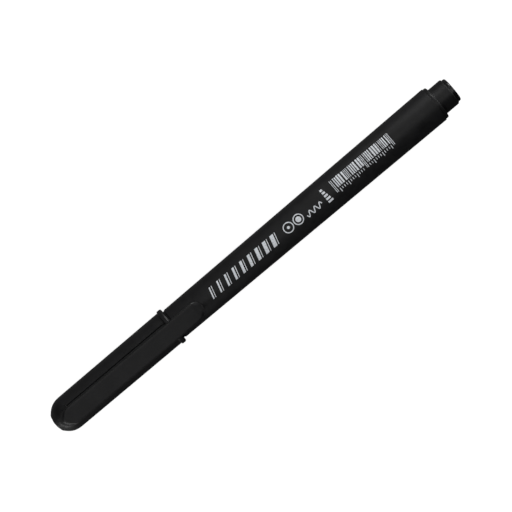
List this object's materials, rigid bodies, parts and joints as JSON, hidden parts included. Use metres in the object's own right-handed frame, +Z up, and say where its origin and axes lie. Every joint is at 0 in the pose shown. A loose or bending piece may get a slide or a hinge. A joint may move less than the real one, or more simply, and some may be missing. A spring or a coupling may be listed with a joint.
{
  "type": "technical pen",
  "caption": "Slim black capped fineliner: tapered barrel, pull-off cap with flexing pocket clip, needle-sleeved fibre point, ink store, rear spigot and button.",
  "frame": {"origin": "centre of the overall box in X and Y, at the bottom of the cap's mouth bead, which is the lowest point of the pen", "axes": "+X from the cap's tip to the rear button along the pen's axis, +Y across, +Z up through the middle of the pocket clip"},
  "size_m": [0.14, 0.0112, 0.0123],
  "materials": {
    "barrel_black": "satin moulded",
    "section_black": "satin moulded",
    "needle_steel": "drawn",
    "nib_fibre": "ink stained",
    "wick_fibre": "ink soaked",
    "store_fibre": "ink soaked",
    "store_film": "thin film",
    "breather_plastic": "extruded",
    "plug_black": "satin moulded",
    "button_black": "polished moulded",
    "cap_black": "satin moulded",
    "liner_plastic": "natural moulded",
    "vent_black": "polished moulded",
    "clip_black": "satin moulded",
    "print_white": "pad-printed ink"
  },
  "bodies": {
    "pen": {"barrel": "barrel_black", "front_section": "section_black", "nib_ferrule": "needle_steel", "nib_core": "nib_fibre", "feed_wick": "wick_fibre", "ink_reservoir": "store_fibre", "reservoir_wrap": "store_film", "breather_tube": "breather_plastic", "end_plug": "plug_black", "end_button": "button_black"},
    "cap": {"cap_shell": "cap_black", "cap_liner": "liner_plastic", "cap_vent_plug": "vent_black"},
    "clip": {"cap_clip": "clip_black"}
  },
  "joints": [
    {"name": "cap_pull", "type": "slide", "parent": "pen", "child": "cap", "axis": [-1, 0, 0], "range_m": [0, 0.05]},
    {"name": "clip_flex", "type": "hinge", "parent": "cap", "child": "clip", "pos_m": [-0.0648, 0, 0.01128], "axis": [0, -1, 0], "range_deg": [0, 4], "stiffness_Nm_per_rad": 1}
  ]
}
